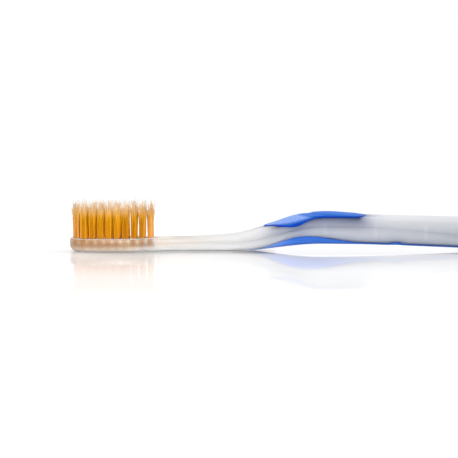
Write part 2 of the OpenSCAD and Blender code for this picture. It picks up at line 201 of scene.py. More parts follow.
def grainGroup():  # fine texture of a moulded surface
    tree, given, result = newTree("mouldGrain", "ShaderNodeTree", [
        ("Vector", "Vector", None), ("Grain Size", "Float", 0.2 * mm),
        ("Roughness", "Float", 0.4), ("Roughness Change", "Float", 0.1),
    ], [("Height", "Float"), ("Roughness", "Float")])
    look = finish["grain"]
    fine = noise(tree, given["Vector"], given["Grain Size"], look["detail"])
    broad = output(tree, "ShaderNodeTexNoise", {"Vector": given["Vector"], "Scale": look["broadScale"]})
    feed(tree, result["Height"], fine)
    both = plus(tree, times(tree, fine, look["fineShare"]), times(tree, broad, 1.0 - look["fineShare"]))
    change = times(tree, minus(tree, both, 0.5), given["Roughness Change"])
    feed(tree, result["Roughness"], plus(tree, given["Roughness"], times(tree, change, 2.0)))
    return tree


def tintGroup():  # slow drift between two colours, as melt leaves when it fills a mould
    tree, given, result = newTree("meltTint", "ShaderNodeTree", [
        ("Vector", "Vector", None), ("First", "Color", None), ("Second", "Color", None),
        ("Patch Size", "Float", 10 * mm),
    ], [("Color", "Color")])
    look = finish["tint"]
    drawn = vectorCalc(tree, "MULTIPLY", given["Vector"], look["stretch"])
    patches = noise(tree, drawn, given["Patch Size"], look["detail"])
    share = rising(tree, patches, *look["edges"])
    feed(tree, result["Color"], mixColour(tree, share, given["First"], given["Second"]))
    return tree


def rubbedGroup():  # hairline marks that run along the brush
    tree, given, result = newTree("rubMarks", "ShaderNodeTree", [
        ("Vector", "Vector", None), ("Line Width", "Float", 0.1 * mm),
    ], [("Mask", "Float")])
    look = finish["rub"]
    drawn = vectorCalc(tree, "MULTIPLY", given["Vector"], look["stretch"])
    lines = noise(tree, drawn, given["Line Width"], look["detail"])
    feed(tree, result["Mask"], rising(tree, lines, *look["edges"]))
    return tree


mouldGrain, meltTint, rubMarks = grainGroup(), tintGroup(), rubbedGroup()


def newMaterial(name, plain):
    material = bpy.data.materials.new(name)
    material.use_nodes = True
    tree = material.node_tree
    shader = tree.nodes["Principled BSDF"]
    for key, value in plain.items():
        shader.inputs[key].default_value = value
    return material, tree, shader


def objectPlace(tree):
    return addNode(tree, "ShaderNodeTexCoord").outputs["Object"]


def attribute(tree, name):
    return addNode(tree, "ShaderNodeAttribute", attribute_name=name).outputs["Fac"]


def normalZ(tree):
    return axesOf(tree, addNode(tree, "ShaderNodeNewGeometry").outputs["Normal"])["Z"]


def tinted(tree, where, first, second, patchSize):
    return output(tree, "ShaderNodeGroup", {
        "Vector": where, "First": first, "Second": second, "Patch Size": patchSize,
    }, node_tree=meltTint)


def grained(tree, shader, where, look, roughness):  # roughness and bump of a surface, and its grain
    grain = addNode(tree, "ShaderNodeGroup", {
        "Vector": where, "Grain Size": look["grainSize"], "Roughness": roughness,
        "Roughness Change": look["roughnessChange"],
    }, node_tree=mouldGrain).outputs
    feed(tree, shader.inputs["Roughness"], grain["Roughness"])
    if "grainDepth" in look:
        bumped = {"Strength": 1.0, "Distance": look["grainDepth"], "Height": grain["Height"]}
        feed(tree, shader.inputs["Normal"], output(tree, "ShaderNodeBump", bumped))
    return grain["Height"]


# handle core: milky clear plastic

core = {
    "mergeGap": 0.002 * mm, "sharpAngle": 50,
    "span": (-94, 94),  # millimetres of X, for the stops of the tints, the roughness and the alpha
    "tints": [
        (-94, "c49f7e"), (-82, "c8a584"), (-76, "dcc0a4"), (-71, "cfc0b4"), (-65, "cdc5bd"),
        (-52, "d8d7d6"), (-38, "e5e5e6"), (-24, "e6e8ed"), (94, "e2e5eb"),
    ],
    "roughness": [(-94, 0.34), (-72, 0.36), (-60, 0.4), (-30, 0.45), (94, 0.45)],
    "alpha": [(-94, 0.84), (-75, 0.84), (-67, 0.88), (-50, 0.95), (-20, 1.0), (94, 1.0)],
    "wallAlpha": 0.06,
    "plain": {
        "IOR": 1.47, "Transmission Weight": 0.06, "Subsurface Weight": 1.0, "Subsurface Scale": 6 * mm,
        "Subsurface Radius": (1.0, 0.95, 0.9),
    },
    "drift": {"colour": "8f939c", "share": 0.04, "patchSize": 9 * mm},
    "flankTilt": (0.5, 0.9),  # Z of the normal, where the flank turns into the face
    "lastColumn": (0.45, 0.55),  # in pitches behind the last column, where the roots end
    "root": {
        "colour": "a2723c", "share": 0.72, "across": (0.36 * mm, 1.11 * mm),
        "height": (0.45 * mm, 1.95 * mm),
    },
    "bite": {
        "colour": "6e655c", "share": 0.42, "place": 0.94 * mm, "across": (0.075 * mm, 0.3 * mm),
        "bottom": (1.15 * mm, 1.45 * mm), "top": (2.3 * mm, 2.6 * mm),
    },
    "pins": {
        "colour": "ffffff", "share": 0.24, "places": (-23.2 * mm, -9.3 * mm, 4.6 * mm),
        "across": (0.27 * mm, 0.9 * mm), "middle": 5.5 * mm, "height": (1.75 * mm, 2.5 * mm),
    },
    "rim": {
        "colour": "ffffff", "share": 0.9, "height": (0.2 * mm, 1.8 * mm), "run": (-44 * mm, -34 * mm),
        "head": (-78 * mm, -68 * mm, 0.3),  # the head's rim takes this part of the paleness
        "clear": 0.3, "clearHeight": 0.8 * mm,
    },
    # painted light on the bare upward face of the head between the tufts
    "face": {"colour": "fbf4ec", "share": 0.9, "tilt": (0.6, 0.9), "run": (-68 * mm, -64 * mm)},
    # painted shade under the thumb pad's overhang, together with the blue the core takes up from the pad
    "padBlueAndShade": {"colour": "3c5190", "share": 0.92, "reach": 1.9 * mm},
    "nearGrip": {"colour": "6a86c8", "share": 0.5, "reach": 1.5 * mm},
    "nearTip": {"start": -40 * mm, "length": 10 * mm, "least": 0.4},
    "roughnessChange": 0.04, "grainSize": 0.2 * mm, "grainDepth": 0.0015 * mm,
}


def mergedCopy(node, gap):
    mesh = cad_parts[node].data
    shape = bmesh.new()
    points = [shape.verts.new(v.co) for v in mesh.vertices]
    for polygon in mesh.polygons:
        corners = [points[i] for i in polygon.vertices]
        if len(set(corners)) == len(corners):
            shape.faces.new(corners)
    bmesh.ops.remove_doubles(shape, verts=shape.verts, dist=gap)
    shape.normal_update()
    return shape


def smoothed(shape, angle):
    limit = math.radians(angle)
    for face in shape.faces:
        face.smooth = True
    for edge in shape.edges:
        edge.smooth = len(edge.link_faces) == 2 and edge.calc_face_angle(0) < limit


def pieceFrom(shape, name, material):
    mesh = bpy.data.meshes.new(name)
    shape.to_mesh(mesh)
    mesh.materials.append(material)
    piece = bpy.data.objects.new(name, mesh)
    bpy.context.scene.collection.objects.link(piece)
    return piece


def rootMasks(tree, axes):  # the tuft roots and the anchor ends that show through the flank of the head
    first, last = columnPlaces[0], columnPlaces[-1]
    pitch = (last - first) / (len(columnPlaces) - 1)
    turns = plus(tree, over(tree, minus(tree, axes["X"], first), pitch), 0.5)
    off = times(tree, absolute(tree, minus(tree, calc(tree, "FRACT", turns), 0.5)), pitch)
    start, stop = [last + pitch * share for share in core["lastColumn"]]
    flank = times(tree, falling(tree, absolute(tree, normalZ(tree)), *core["flankTilt"]),
                  falling(tree, axes["X"], start, stop))
    root, bite = core["root"], core["bite"]
    column = falling(tree, off, *root["across"])
    ending = rising(tree, axes["Z"], *root["height"])
    slit = falling(tree, absolute(tree, minus(tree, off, bite["place"])), *bite["across"])
    band = times(tree, rising(tree, axes["Z"], *bite["bottom"]), falling(tree, axes["Z"], *bite["top"]))
    return [times(tree, flank, times(tree, a, b)) for a, b in ((column, ending), (slit, band))]


def pinMask(tree, axes):  # the locating pin holes behind the flank, seen as pale bands
    pins = core["pins"]
    bands = 0.0
    for spot in pins["places"]:
        off = absolute(tree, minus(tree, axes["X"], spot))
        bands = plus(tree, bands, falling(tree, off, *pins["across"]))
    far = absolute(tree, minus(tree, axes["Z"], pins["middle"]))
    return times(tree, bands, falling(tree, far, *pins["height"]))


def alongCore(stops):  # their places in millimetres as shares of the span
    low, high = core["span"]
    return [((x - low) / (high - low), value) for x, value in stops]


def coreMaterial():
    material, tree, shader = newMaterial("milkyPlastic", core["plain"])
    where = objectPlace(tree)
    axes = axesOf(tree, where)
    share = rising(tree, axes["X"], *[x * mm for x in core["span"]])
    zone = ramp(tree, share, alongCore(core["tints"]))
    drift = core["drift"]
    darker = mixColour(tree, drift["share"], zone, hexColour(drift["colour"]))
    colour = tinted(tree, where, zone, darker, drift["patchSize"])
    grained(tree, shader, where, core, curveOf(tree, share, alongCore(core["roughness"])))
    for name, mask in zip(("root", "bite", "pins"), rootMasks(tree, axes) + [pinMask(tree, axes)]):
        colour = stained(tree, colour, mask, core[name])
    # light gathers in the rounded lower edge of the head and the neck, and the floor shows through it
    rim = core["rim"]
    ahead = falling(tree, axes["X"], *rim["run"])
    pale = times(tree, falling(tree, axes["Z"], *rim["height"]), ahead)
    pale = times(tree, pale, mapped(tree, axes["X"], *rim["head"], 1.0))
    colour = stained(tree, colour, pale, rim)
    # painted light: the bare upward face of the head between the tufts is painted pale, partly the milky
    # plastic's own colour and partly painted light against the tufts' shade, with a painted highlight along
    # its top edge
    face = core["face"]
    paintedPaleFace = times(tree, rising(tree, normalZ(tree), *face["tilt"]), falling(tree, axes["X"], *face["run"]))
    colour = stained(tree, colour, paintedPaleFace, face)
    # blue taken up from the pad and the grip, with painted shade under the pad
    for name in ("padBlueAndShade", "nearGrip"):
        colour = stained(tree, colour, attribute(tree, name), core[name])
    feed(tree, shader.inputs["Base Color"], colour)
    clear = times(tree, mapped(tree, axes["Z"], 0.0, rim["clearHeight"], rim["clear"], 0.0), ahead)
    milk = minus(tree, curveOf(tree, share, alongCore(core["alpha"])), clear)
    feed(tree, shader.inputs["Alpha"], between(tree, attribute(tree, "holeWall"), milk, core["wallAlpha"]))
    return material


def middleX(node):
    low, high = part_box(node)
    return (low[0] + high[0]) / 2


columnPlaces = [middleX("tuft_%d_1" % (c + 1)) for c in range(10)]
coreShape = mergedCopy("handle_core", core["mergeGap"])
smoothed(coreShape, core["sharpAngle"])
handleCore = pieceFrom(coreShape, "handleCore", coreMaterial())
coreTree = BVHTree.FromBMesh(coreShape)
print("handle core made,", len(coreShape.faces), "faces")


# soft grips: blue elastomer, bonded to the pockets of the core

grips = {
    "mergeGap": 0.002 * mm, "sharpAngle": 40, "bond": 0.04 * mm, "touch": 0.004 * mm,
    "plain": {
        "IOR": 1.5, "Specular IOR Level": 0.06, "Subsurface Weight": 0.12, "Subsurface Scale": 1 * mm,
    },
    "padTints": ("1470dc", "1068d2"), "backTints": ("548ff2", "4c88ea"), "patchSize": 6 * mm,
    "worn": {"colour": "8fb0f0", "share": 0.06, "lineWidth": 0.4 * mm},
    # frost and painted sheen on the pad's front leaf
    "frostAndSheen": "9ab8f8", "leafTop": (-30.2 * mm, 10.3 * mm), "leafSweep": 8.3, "leafFade": 3.4 * mm,
    "leafTilt": {"start": 0.15, "length": 0.5},
    "speckle": (0.35, 0.65, 0.45),  # range of the grain, and the frost at its low end
    # deep blue of the thick rim, and painted shade on the pad's sides and the back grip's upper skin
    "deep": "003cb4", "rim": {"reach": 0.9 * mm, "fade": 0.5 * mm, "most": 0.85}, "sideTilt": 0.35,
    "backShade": {"most": 0.62, "slope": 0.9},
    "thin": {"colour": "a0c4ff", "run": (-44 * mm, -32 * mm), "most": 0.8},
    "roughness": 0.46, "roughnessChange": 0.08, "grainSize": 0.3 * mm, "grainDepth": 0.02 * mm,
}


def gripMaterial(name, tints):
    material, tree, shader = newMaterial(name, grips["plain"])
    where = objectPlace(tree)
    colour = tinted(tree, where, *[hexColour(t) for t in tints], grips["patchSize"])
    grain = grained(tree, shader, where, grips, grips["roughness"])
    rubbed = output(tree, "ShaderNodeGroup", {
        "Vector": where, "Line Width": grips["worn"]["lineWidth"],
    }, node_tree=rubMarks)
    colour = stained(tree, colour, rubbed, grips["worn"])
    # the front leaf of the pad has a frost texture, and its upward skin is painted lighter as sheen, up to
    # a line that sweeps back down its side
    axes = axesOf(tree, where)
    topX, topZ = grips["leafTop"]
    lineX = plus(tree, topX, times(tree, minus(tree, topZ, axes["Z"]), grips["leafSweep"]))
    ahead = over(tree, minus(tree, lineX, axes["X"]), grips["leafFade"])
    leaf = times(tree, rising(tree, ahead, 0.0, 1.0), attribute(tree, "upper"))
    speckled = times(tree, leaf, mapped(tree, grain, *grips["speckle"], 1.0))
    colour = mixColour(tree, speckled, colour, hexColour(grips["frostAndSheen"]))
    # painted shade: the pad's rim and sides and the back grip's upper skin turn deep blue, the pad's rim
    # partly from its thick elastomer
    colour = mixColour(tree, attribute(tree, "edge"), colour, hexColour(grips["deep"]))
    # the thin front tip of the back grip lets the milky core show through
    colour = mixColour(tree, attribute(tree, "thin"), colour, hexColour(grips["thin"]["colour"]))
    feed(tree, shader.inputs["Base Color"], colour)
    return material


def bonded(shape):  # sinks the hidden side a little into the core, so no air shows between them
    near = {}
    for vertex in shape.verts:
        _, normal, _, gap = coreTree.find_nearest(vertex.co)
        if gap < grips["touch"]:
            near[vertex] = normal
    hidden = [v for v in near if all(w in near for e in v.link_edges for w in e.verts)]
    for vertex in hidden:
        vertex.co -= near[vertex] * grips["bond"]


def padShades(vertex):  # how far the skin faces up, for the leaf's frost and painted sheen; the deeper blue at the rim, partly thick elastomer and partly painted shade; painted shade on the sides; and no thin tip
    rim, leaf, side = grips["rim"], grips["leafTilt"], grips["sideTilt"]
    nearRim = clamp((rim["reach"] - coreTree.find_nearest(vertex.co)[3]) / rim["fade"], rim["most"])
    upper = clamp((vertex.normal.z - leaf["start"]) / leaf["length"])
    return upper, max(nearRim, clamp((side - vertex.normal.z) / side)), 0.0


def backShades(vertex):  # no leaf, the shade towards its edges, and the thin tip
    shade, (tip, full) = grips["backShade"], grips["thin"]["run"]
    edge = clamp(shade["most"] + vertex.normal.z * shade["slope"], shade["most"])
    return 0.0, edge, clamp((full - vertex.co.x) / (full - tip), grips["thin"]["most"])


def shadeAttributes(piece, shades):
    names = ("upper", "edge", "thin")
    upper, edge, thin = [piece.data.attributes.new(name, "FLOAT", "POINT").data for name in names]
    for i, vertex in enumerate(piece.data.vertices):
        upper[i].value, edge[i].value, thin[i].value = shades(vertex)


def blueNear(softShape, label):  # the milky core takes up some of the blue that lies next to it, and by the thumb pad this also paints the shade under the pad's overhang
    softTree, tip = BVHTree.FromBMesh(softShape), core["nearTip"]
    near = handleCore.data.attributes.new(label, "FLOAT", "POINT")
    for vertex, value in zip(handleCore.data.vertices, near.data):
        fade = tip["least"] + (1.0 - tip["least"]) * clamp((vertex.co.x - tip["start"]) / tip["length"])
        value.value = math.exp(-softTree.find_nearest(vertex.co)[3] / core[label]["reach"]) * fade


softPieces = []
for node, name, tints, shades, label in (
    ("thumb_pad", "thumbPad", "padTints", padShades, "padBlueAndShade"),
    ("back_grip", "backGrip", "backTints", backShades, "nearGrip"),
):
    softShape = mergedCopy(node, grips["mergeGap"])
    bonded(softShape)
    smoothed(softShape, grips["sharpAngle"])
    softPiece = pieceFrom(softShape, name, gripMaterial(name + "Blue", grips[tints]))
    shadeAttributes(softPiece, shades)
    softPieces.append((softPiece, node))
    blueNear(softShape, label)
print("thumb pad and back grip made")


# tufts: bundles of amber filaments in the holes of the head

tufts = {
    "inputs": {
        "Filaments": 90, "Bundle Radius": 0.85 * mm, "Width": 0.18 * mm, "Fan": 1.55,
        "Root Depth": 2.75 * mm, "Body Height": 7.9 * mm, "Tip Height": 10.95 * mm, "Tip Share": 0.3,
        "Taper Length": 4.5 * mm, "Waist": 0.8, "Wander": 1.1 * mm, "Tuft Lean": 0.4 * mm,
        "Uneven": 0.9 * mm, "Rarity Inside": 5.8, "Rarity Outside": 2.8, "Clump": 0.45 * mm, "Seed": 7,
    },
    "turn": 1.7, "goldenAngle": 2.39996, "crowding": 1.6, "bend": 2.4,
    "strand": {"steps": 7, "sides": 4, "radius": 0.55},
    "plug": {"steps": 11, "sides": 16, "sunk": 0.2 * mm, "shade": 0.3},
    "rootShape": [(0.0, 1.0), (0.7, 1.0), (0.9, 0.86), (1.0, 0.45)], "waistDepth": 0.3,
    "plugShape": [(0.0, 0.45), (0.1, 0.86), (0.3, 1.0), (1.0, 1.0)],
    "floorBand": 0.01 * mm, "wallRadius": 0.867 * mm, "wallDepth": (0.01 * mm, 2.77 * mm),
    "plain": {"IOR": 1.5, "Specular IOR Level": 0.06},
    "roughness": 0.5, "roughnessChange": 0.08, "grainSize": 0.4 * mm,
    "colours": [
        (0.0, "c27e1c"), (0.15, "c27e0a"), (0.4, "ca8602"), (0.52, "e2a01a"), (0.6, "f8ba50"),
        (0.7, "ffd694"), (0.84, "ffecd0"), (1.0, "fff4e4"),
    ],
    "inner": [
        (0.0, "f49c24"), (0.4, "ffac08"), (0.52, "ffb828"), (0.6, "ffc85c"), (0.7, "ffdc9c"),
        (0.84, "ffecd0"), (1.0, "fff4e4"),
    ],
    "flank": (0.4 * mm, 0.72 * mm), "innerEdges": (2.9 * mm, 1.6 * mm),
    "ends": {"colour": "d6a878", "share": 0.55, "run": (8.0 * mm, 10.6 * mm)},
    "lightStrand": {"colour": "ffc428", "share": 0.2}, "darkStrand": {"colour": "8c5000", "share": 0.5},
    "ownShade": 0.4, "clumpEdges": (0.35, 0.65),
}


def filamentMaterial():
    material, tree, shader = newMaterial("amberFilament", tufts["plain"])
    height, shade, flank = [attribute(tree, name) for name in ("height", "shade", "flank")]
    where = objectPlace(tree)
    axes = axesOf(tree, where)
    grained(tree, shader, where, tufts, tufts["roughness"])
    # light bleeds between filaments, so the inner rows and the flanks of a tuft look brighter
    inside = rising(tree, absolute(tree, axes["Y"]), *tufts["innerEdges"])
    bright = calc(tree, "MAXIMUM", inside, flank)
    # amber at the root and paler towards the tips: the pale tips are partly painted light, as backlight
    # through the thin ends
    outer, inner = [ramp(tree, height, tufts[name]) for name in ("colours", "inner")]
    colour = mixColour(tree, bright, outer, inner)
    # the short rows at both ends of the head let more light through
    middle = (columnPlaces[0] + columnPlaces[-1]) / 2
    far = absolute(tree, minus(tree, axes["X"], middle))
    colour = stained(tree, colour, rising(tree, far, *tufts["ends"]["run"]), tufts["ends"])
    colour = stained(tree, colour, shade, tufts["lightStrand"])
    colour = stained(tree, colour, minus(tree, 1.0, shade), tufts["darkStrand"])
    feed(tree, shader.inputs["Base Color"], colour)
    return material


def modelTree(name, numbers):  # a Geometry Nodes tree that takes the numbers as named inputs
    sockets = [(label, "Int" if isinstance(n, int) else "Float", n) for label, n in numbers.items()]
    return newTree(name, "GeometryNodeTree", [("Geometry", "Geometry", None), *sockets,
                                              ("Material", "Material", None)], [("Geometry", "Geometry")])


def atPoints(tree, points, instance):
    return output(tree, "GeometryNodeInstanceOnPoints", {"Points": points, "Instance": instance})


def realized(tree, geometry):
    return output(tree, "GeometryNodeRealizeInstances", {"Geometry": geometry})


def closeTree(tree, given, result, geometry):
    feed(tree, result["Geometry"], output(tree, "GeometryNodeSetMaterial", {
        "Geometry": realized(tree, geometry), "Material": given["Material"],
    }))
    return tree


def filamentTree():
    tree, given, result = modelTree("tuftFilaments", tufts["inputs"])
    index = output(tree, "GeometryNodeInputIndex")
    strand, stub = tufts["strand"], tufts["plug"]
    vector = "FLOAT_VECTOR"

    def chance(offset, kind="FLOAT"):
        node = addNode(tree, "FunctionNodeRandomValue", data_type=kind)
        low, high, slots = ((-1, -1, 0), (1, 1, 0), (0, 1, 0)) if kind == vector else (0.0, 1.0, (2, 3, 1))
        feed(tree, node.inputs[slots[0]], low)
        feed(tree, node.inputs[slots[1]], high)
        feed(tree, node.inputs["ID"], index)
        feed(tree, node.inputs["Seed"], plus(tree, given["Seed"], offset))
        return node.outputs[slots[2]]

    def keep(geometry, name, value, kind="FLOAT"):
        return output(tree, "GeometryNodeStoreNamedAttribute", {
            "Geometry": geometry, "Name": name, "Value": value,
        }, data_type=kind, domain="POINT")

    def kept(name, kind="FLOAT"):
        return output(tree, "GeometryNodeInputNamedAttribute", {"Name": name}, data_type=kind)

    def line(start, end, steps):
        whole = output(tree, "GeometryNodeCurvePrimitiveLine", {"Start": start, "End": end})
        return output(tree, "GeometryNodeResampleCurve", {"Curve": whole, "Count": steps})

    def tube(curve, sides, radius, scale):
        ring = output(tree, "GeometryNodeCurvePrimitiveCircle", {"Resolution": sides, "Radius": radius})
        return output(tree, "GeometryNodeCurveToMesh", {
            "Curve": curve, "Profile Curve": ring, "Scale": scale, "Fill Caps": True,
        })

    points = keep(given["Geometry"], "mouth", output(tree, "GeometryNodeInputPosition"), vector)
    points = keep(points, "sway", chance(1, vector), vector)
    points = keep(points, "turn", times(tree, index, tufts["turn"]))
    copies = addNode(tree, "GeometryNodeDuplicateElements", {
        "Geometry": points, "Amount": given["Filaments"],
    }, domain="POINT")
    number = copies.outputs["Duplicate Index"]
    # sunflower order fills the round hole evenly
    angle = plus(tree, times(tree, number, tufts["goldenAngle"]), kept("turn"))
    outward = calc(tree, "SQRT", over(tree, plus(tree, number, 0.5), given["Filaments"]))
    distance = times(tree, outward, minus(tree, given["Bundle Radius"], times(tree, given["Width"], 0.5)))
    offset = combined(tree, X=times(tree, distance, calc(tree, "COSINE", angle)),
                      Y=times(tree, distance, calc(tree, "SINE", angle)))
    # few filaments reach far above the body, and most of those stand at the rim of the tuft
    rarity = mapped(tree, distance, 0.0, given["Bundle Radius"], given["Rarity Inside"],
                    given["Rarity Outside"])
    rare = calc(tree, "POWER", chance(3), rarity)
    longest = between(tree, rare, given["Body Height"], given["Tip Height"])
    reach = minus(tree, longest, times(tree, chance(6), given["Uneven"]))
    clumps = noise(tree, vectorCalc(tree, "ADD", kept("mouth", vector), offset), given["Clump"], 0.0)
    shade = plus(tree, times(tree, chance(5), tufts["ownShade"]),
                 times(tree, rising(tree, clumps, *tufts["clumpEdges"]), 1.0 - tufts["ownShade"]))
    filaments = keep(copies.outputs["Geometry"], "offset", offset, vector)
    filaments = keep(filaments, "drift", chance(4, vector), vector)
    filaments = keep(filaments, "reach", reach)
    filaments = keep(filaments, "shade", shade)
    sideways = absolute(tree, axesOf(tree, offset)["X"])
    filaments = keep(filaments, "flank", rising(tree, sideways, *tufts["flank"]))
    curves = realized(tree, atPoints(tree, filaments, line((0, 0, 0), (0, 0, mm), strand["steps"])))
    # more points near the end, where a filament tapers
    t = addNode(tree, "GeometryNodeSplineParameter").outputs["Factor"]
    eased = minus(tree, 1.0, calc(tree, "POWER", minus(tree, 1.0, t), tufts["crowding"]))
    root = given["Root Depth"]
    z = minus(tree, times(tree, eased, plus(tree, kept("reach"), root)), root)
    rise = calc(tree, "MAXIMUM", z, 0.0)
    depth = over(tree, times(tree, z, -1.0), root)
    pinch = times(tree, mapped(tree, depth, 0.0, tufts["waistDepth"], 1.0, given["Waist"]),
                  curveOf(tree, depth, tufts["rootShape"]))
    fanned = times(tree, minus(tree, given["Fan"], 1.0), over(tree, rise, given["Body Height"]))
    share = over(tree, rise, given["Tip Height"])
    bend = calc(tree, "POWER", share, tufts["bend"])
    whole = kept("mouth", vector)
    for name, factor in (
        ("offset", plus(tree, pinch, fanned)),
        ("drift", times(tree, bend, given["Wander"])),
        ("sway", times(tree, bend, given["Tuft Lean"])),
    ):
        whole = vectorCalc(tree, "ADD", whole, scaled(tree, kept(name, vector), factor))
    whole = vectorCalc(tree, "ADD", whole, combined(tree, Z=z))
    curves = keep(curves, "height", share)
    curves = keep(curves, "level", z)
    curves = output(tree, "GeometryNodeSetPosition", {"Geometry": curves, "Position": whole})
    fromTip = over(tree, minus(tree, kept("reach"), kept("level")), given["Taper Length"])
    strands = tube(curves, strand["sides"], times(tree, given["Width"], strand["radius"]),
                   between(tree, fromTip, given["Tip Share"], 1.0))
    strands = output(tree, "GeometryNodeSetShadeSmooth", {"Geometry": strands, "Shade Smooth": True})
    # a plug that stands for the folded bundle in the hole
    stem = line(combined(tree, Z=times(tree, root, -1.0)), (0, 0, -stub["sunk"]), stub["steps"])
    plug = tube(stem, stub["sides"], times(tree, given["Bundle Radius"], given["Waist"]),
                curveOf(tree, t, tufts["plugShape"]))
    plugs = realized(tree, atPoints(tree, given["Geometry"], plug))
    for name, value in (("shade", stub["shade"]), ("height", 0.0), ("flank", 0.0)):
        plugs = keep(plugs, name, value)
    joined = addNode(tree, "GeometryNodeJoinGeometry")
    for part in (strands, plugs):
        tree.links.new(part, joined.inputs[0])
    return closeTree(tree, given, result, joined.outputs[0])


def setInputs(modifier, values):
    for item in modifier.node_group.interface.items_tree:
        if item.item_type == "SOCKET" and item.in_out == "INPUT" and item.name in values:
            modifier[item.identifier] = values[item.name]


def builtFrom(points, name, tree, values):  # runs a tree on loose points and keeps the plain mesh
    seedMesh = bpy.data.meshes.new(name + "Points")
    seedMesh.from_pydata([tuple(p) for p in points], [], [])
    carrier = bpy.data.objects.new(name + "Carrier", seedMesh)
    bpy.context.scene.collection.objects.link(carrier)
    modifier = carrier.modifiers.new("build", "NODES")
    modifier.node_group = tree
    setInputs(modifier, values)
    bpy.context.view_layer.update()
    graph = bpy.context.evaluated_depsgraph_get()
    mesh = bpy.data.meshes.new_from_object(carrier.evaluated_get(graph), preserve_all_data_layers=True,
                                           depsgraph=graph)
    carrier.modifiers.clear()
    bpy.data.objects.remove(carrier)
    mesh.name = name
    piece = bpy.data.objects.new(name, mesh)
    bpy.context.scene.collection.objects.link(piece)
    return piece


def tuftMouth(node):  # middle of the hole's floor, raised to the face of the head
    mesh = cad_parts[node].data
    low = min(v.co.z for v in mesh.vertices)
    ring = [v.co for v in mesh.vertices if v.co.z < low + tufts["floorBand"]]
    x, y = [(min(p[axis] for p in ring) + max(p[axis] for p in ring)) / 2 for axis in (0, 1)]
    return Vector((x, y, low + tufts["inputs"]["Root Depth"]))


def markHoleWalls(piece, mouths):  # the walls of the holes have no surface of their own to see
    shallow, deep = tufts["wallDepth"]
    values = piece.data.attributes.new("holeWall", "FLOAT", "FACE").data
    for face, value in zip(piece.data.polygons, values):
        spot = face.center
        inside = any((spot.xy - m.xy).length < tufts["wallRadius"] and shallow < m.z - spot.z < deep
                     for m in mouths)
        value.value = 1.0 if inside else 0.0


tuftNodes = sorted(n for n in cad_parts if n.startswith("tuft_") and n != "tuft_anchors")
mouths = [tuftMouth(n) for n in tuftNodes]
markHoleWalls(handleCore, mouths)
bristleInputs = {**tufts["inputs"], "Material": filamentMaterial()}
bristles = builtFrom(mouths, "bristles", filamentTree(), bristleInputs)
print("bristles made,", len(bristles.data.polygons), "faces,", len(mouths), "tufts")


# anchors: stamped metal plates across the holes

anchors = {
    "overfill": 0.03 * mm,
    "inputs": {"Length": 2.05 * mm, "Thickness": 0.25 * mm, "Height": 1.25 * mm, "Depth": 1.15 * mm},
    "plain": {"Metallic": 1.0}, "tints": ("8d8a80", "a19c90"), "patchSize": 0.8 * mm,
    "roughness": 0.42, "roughnessChange": 0.1, "grainSize": 0.08 * mm, "grainDepth": 0.004 * mm,
}


def anchorMaterial():
    material, tree, shader = newMaterial("anchorMetal", anchors["plain"])
    where = objectPlace(tree)
    colour = tinted(tree, where, *[hexColour(t) for t in anchors["tints"]], anchors["patchSize"])
    feed(tree, shader.inputs["Base Color"], colour)
    grained(tree, shader, where, anchors, anchors["roughness"])
    return material


def anchorTree():
    tree, given, result = modelTree("anchorPlates", anchors["inputs"])
    size = combined(tree, X=given["Length"], Y=given["Thickness"], Z=given["Height"])
    plate = output(tree, "GeometryNodeMeshCube", {"Size": size})
    down = minus(tree, times(tree, given["Height"], -0.5), given["Depth"])
    plate = output(tree, "GeometryNodeTransform", {
        "Geometry": plate, "Translation": combined(tree, Z=down),
    })
    return closeTree(tree, given, result, atPoints(tree, given["Geometry"], plate))


spare = anchors["overfill"]  # each plate is a little larger than its solid, about the same middle
plateInputs = {label: anchors["inputs"][label] + spare for label in ("Length", "Thickness", "Height")}
plateInputs["Depth"] = anchors["inputs"]["Depth"] - spare / 2
plates = builtFrom(mouths, "anchorPlates", anchorTree(), {**plateInputs, "Material": anchorMaterial()})
print("anchor plates made,", len(plates.data.polygons), "faces")


# what each piece rides on and stands for

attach(handleCore, "root")
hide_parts("handle_core")
for piece, node in softPieces:
    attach(piece, "root")
    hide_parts(node)
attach(bristles, "root")
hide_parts(*tuftNodes)
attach(plates, "root")
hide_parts("tuft_anchors")
print("pieces placed")


# floor, light and camera

stage = {
    "floorSize": 12.0, "floorColour": "f2f2f2", "glow": 0.3, "backdrop": (40 * mm, 140 * mm),
    "contact": {  # the soft shade under the head and the neck
        "reach": 24 * mm, "power": 5.0, "samples": 8, "dark": 0.2, "plain": 0.84, "darkest": 0.66,
        "gloss": 0.45, "run": (-50 * mm, -36 * mm), "head": (-90 * mm, -62 * mm, 0.15),
        "behind": (-2 * mm, 5 * mm), "behindShare": 0.15,
    },
    "gloss": [
        (0.0, 0.0), (0.06, 0.02), (0.14, 0.15), (0.21, 0.2), (0.24, 0.23), (0.27, 0.29), (0.31, 0.38),
        (0.35, 0.47), (0.38, 0.49), (0.45, 0.5), (0.48, 0.95), (0.56, 0.95), (0.6, 0.5), (0.65, 0.47),
        (0.69, 0.38), (0.73, 0.29), (0.76, 0.23), (0.79, 0.2), (0.86, 0.15), (0.94, 0.02), (1.0, 0.0),
    ],
    "glossReach": 110 * mm, "glossRoughness": 0.03,
    "handle": {"run": (-26 * mm, -8 * mm), "beside": (6 * mm, 12 * mm), "gloss": 0.66},
    "sky": 0.7,
    "lamps": [  # name, place, size, watts, aimed at, width of the beam in degrees, seen in the floor
        ("overhead", (-0.04, 0.26, 0.6), 0.5, 1.3, (-0.03, 0.0, 0.005), 180, True),
        ("front", (-0.033, -0.5, 0.06), 0.1, 0.024, (-0.087, 0.0, 0.008), 13, True),
        ("rear", (-0.12, 0.5, 0.2), 0.4, 0.6, (-0.06, 0.0, 0.008), 180, False),
    ],
}
